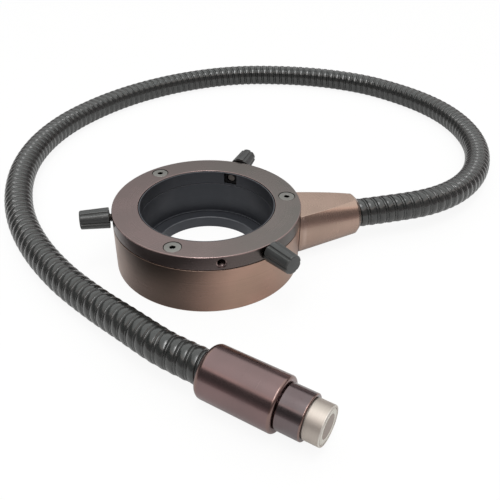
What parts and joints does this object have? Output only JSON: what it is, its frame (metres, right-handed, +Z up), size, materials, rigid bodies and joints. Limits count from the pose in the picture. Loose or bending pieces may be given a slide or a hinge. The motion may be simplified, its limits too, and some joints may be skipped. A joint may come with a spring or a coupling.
{
  "type": "microscope ring light",
  "caption": "Fibre-optic ring light head with clamping thumbscrews, a tapered side neck, a ribbed light conduit and an end ferrule for a light source.",
  "frame": {"origin": "middle of the underside of the head's bounding box, measured without the conduit and what is on it; the ring's axis is at x = -9.005 mm, y = 1.618 mm", "axes": "+Z up along the ring's axis, from the side that faces the specimen to the side that faces the microscope; +X from the ring towards the neck"},
  "size_m": [0.3065, 0.3689, 0.0316],
  "materials": {
    "copper_anodised": "satin copper-bronze anodised, turned",
    "brown_anodised": "satin dark brown anodised, turned",
    "neck_anodised": "satin light copper anodised",
    "black_anodised": "matte black anodised",
    "knob_plastic": "black, moulded, semi-gloss",
    "pad_plastic": "black, moulded, dull",
    "conduit_cover": "glossy black cover over a stripwound metal conduit",
    "steel": "bright steel screws",
    "tip_metal": "polished champagne metal",
    "resin": "cream potting resin, ground flat",
    "glass_fibre": "polished ends of packed glass fibres"
  },
  "bodies": {
    "root": {"ring_housing": "copper_anodised", "inner_sleeve": "black_anodised", "fibre_ring": "glass_fibre", "fibre_fan": "glass_fibre", "light_guide_neck": "neck_anodised", "neck_screw_1": "steel", "neck_screw_2": "steel", "neck_set_screw": "steel", "clamp_ring": "brown_anodised", "clamp_liner": "black_anodised", "clamp_ring_screw_1": "steel", "clamp_ring_screw_2": "steel", "clamp_ring_screw_3": "steel", "light_conduit": "conduit_cover", "fibre_bundle": "glass_fibre", "ferrule_sleeve": "brown_anodised", "ferrule_body": "brown_anodised", "ferrule_tip": "tip_metal", "ferrule_potting": "resin", "fibre_face": "glass_fibre", "sleeve_set_screw": "steel"},
    "pad_1": {"thumbscrew_pad_1": "pad_plastic"},
    "pad_2": {"thumbscrew_pad_2": "pad_plastic"},
    "pad_3": {"thumbscrew_pad_3": "pad_plastic"},
    "thumbscrew_1": {"thumbscrew_stud_1": "steel", "thumbscrew_knob_1": "knob_plastic"},
    "thumbscrew_2": {"thumbscrew_stud_2": "steel", "thumbscrew_knob_2": "knob_plastic"},
    "thumbscrew_3": {"thumbscrew_stud_3": "steel", "thumbscrew_knob_3": "knob_plastic"}
  },
  "joints": [
    {"name": "thumbscrew_travel_1", "type": "slide", "parent": "root", "child": "pad_1", "axis": [0.5519, 0.8339, 0], "range_m": [-0.00075, 0.0022]},
    {"name": "thumbscrew_turn_1", "type": "hinge", "parent": "pad_1", "child": "thumbscrew_1", "pos_m": [-0.00901, 0.00162, 0.02658], "axis": [0.5519, 0.8339, 0], "range_deg": [-386, 1132]},
    {"name": "thumbscrew_travel_2", "type": "slide", "parent": "root", "child": "pad_2", "axis": [-0.9981, 0.061, 0], "range_m": [-0.00075, 0.0022]},
    {"name": "thumbscrew_turn_2", "type": "hinge", "parent": "pad_2", "child": "thumbscrew_2", "pos_m": [-0.00901, 0.00162, 0.02658], "axis": [-0.9981, 0.061, 0], "range_deg": [-386, 1132]},
    {"name": "thumbscrew_travel_3", "type": "slide", "parent": "root", "child": "pad_3", "axis": [0.4462, -0.8949, 0], "range_m": [-0.00075, 0.0022]},
    {"name": "thumbscrew_turn_3", "type": "hinge", "parent": "pad_3", "child": "thumbscrew_3", "pos_m": [-0.00901, 0.00162, 0.02658], "axis": [0.4462, -0.8949, 0], "range_deg": [-386, 1132]}
  ],
  "couplings": [
    {"joint": "thumbscrew_turn_1", "follows": "thumbscrew_travel_1", "rad_per_m": 8976},
    {"joint": "thumbscrew_turn_2", "follows": "thumbscrew_travel_2", "rad_per_m": 8976},
    {"joint": "thumbscrew_turn_3", "follows": "thumbscrew_travel_3", "rad_per_m": 8976}
  ]
}
